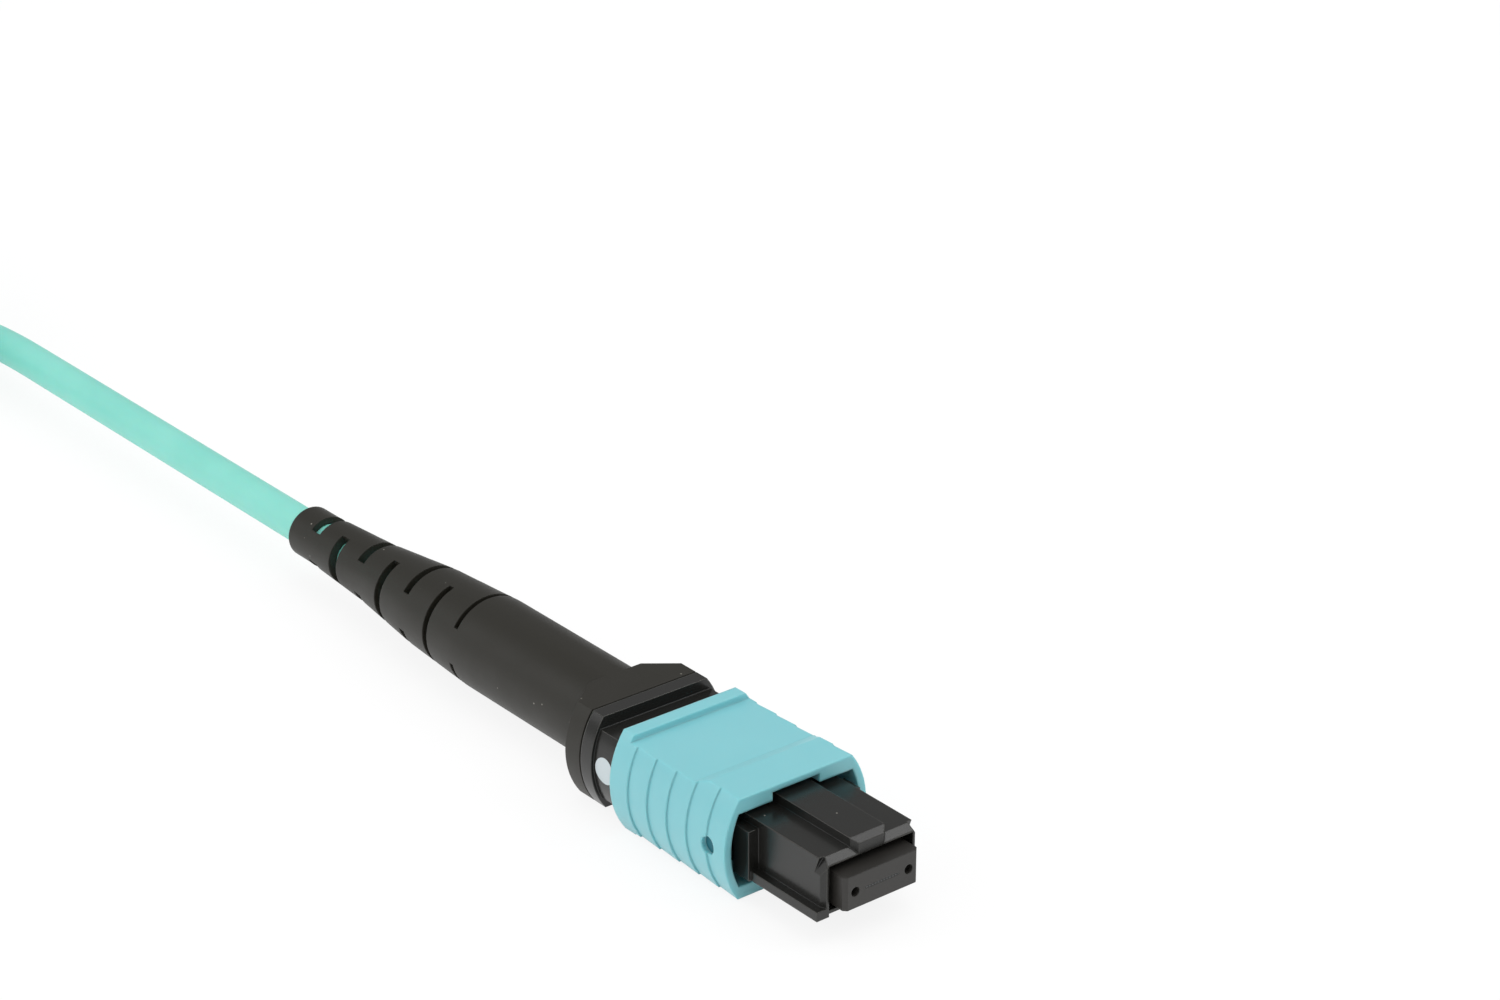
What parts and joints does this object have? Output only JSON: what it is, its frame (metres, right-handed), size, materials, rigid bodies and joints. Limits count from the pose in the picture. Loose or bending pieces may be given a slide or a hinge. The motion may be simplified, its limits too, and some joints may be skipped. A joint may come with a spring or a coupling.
{
  "type": "mpo fibre connector",
  "caption": "Multi-fibre push-on connector with floating ferrule, keyed housing, sliding sleeve and slotted boot, on a jumper cable whose spare length is put away in a tied hank.",
  "frame": {"origin": "centre of the ferrule's mating face", "axes": "+X the mating direction, +Z the key side, +Y the left-hand side seen along +X; the connector lies on its sleeve"},
  "size_m": [0.2785, 0.0352, 0.01],
  "materials": {
    "black_moulding": "glossy",
    "ferrule_plastic": "fine satin",
    "aqua_moulding": "semi gloss",
    "boot_rubber": "satin",
    "cable_jacket": "satin",
    "carrier_plastic": "satin",
    "clamp_plastic": "satin",
    "spring_steel": "drawn wire",
    "crimp_metal": "turned",
    "yarn": "fibrous",
    "fibre": "smooth",
    "soft_rubber": "matte",
    "tie_fabric": "woven"
  },
  "bodies": {
    "plug": {"inner_housing": "black_moulding", "spring_push": "carrier_plastic", "aramid_yarn": "yarn", "crimp_ring": "crimp_metal", "boot": "boot_rubber", "ferrule_spring": "spring_steel", "sleeve_spring_left": "spring_steel", "sleeve_spring_right": "spring_steel", "fibre_ribbon": "fibre", "cable_lead": "cable_jacket", "cable_hank": "cable_jacket", "hank_tie_left": "tie_fabric", "hank_tie_right": "tie_fabric", "cable_tail": "cable_jacket", "far_ferrule": "ferrule_plastic", "far_inner_housing": "black_moulding", "far_coupling_sleeve": "aqua_moulding", "far_boot": "boot_rubber"},
    "sleeve": {"coupling_sleeve": "aqua_moulding"},
    "floating_ferrule": {"ferrule": "ferrule_plastic", "ferrule_boot": "soft_rubber", "pin_clamp": "clamp_plastic"}
  },
  "joints": [
    {"name": "sleeve_slide", "type": "slide", "parent": "plug", "child": "sleeve", "axis": [-1, 0, 0], "range_m": [0, 0.002], "stiffness_N_per_m": 400, "deforming": ["sleeve_spring_left", "sleeve_spring_right"]},
    {"name": "ferrule_float", "type": "slide", "parent": "plug", "child": "floating_ferrule", "axis": [-1, 0, 0], "range_m": [0, 0.001], "stiffness_N_per_m": 4000, "deforming": ["ferrule_spring", "fibre_ribbon"]}
  ]
}
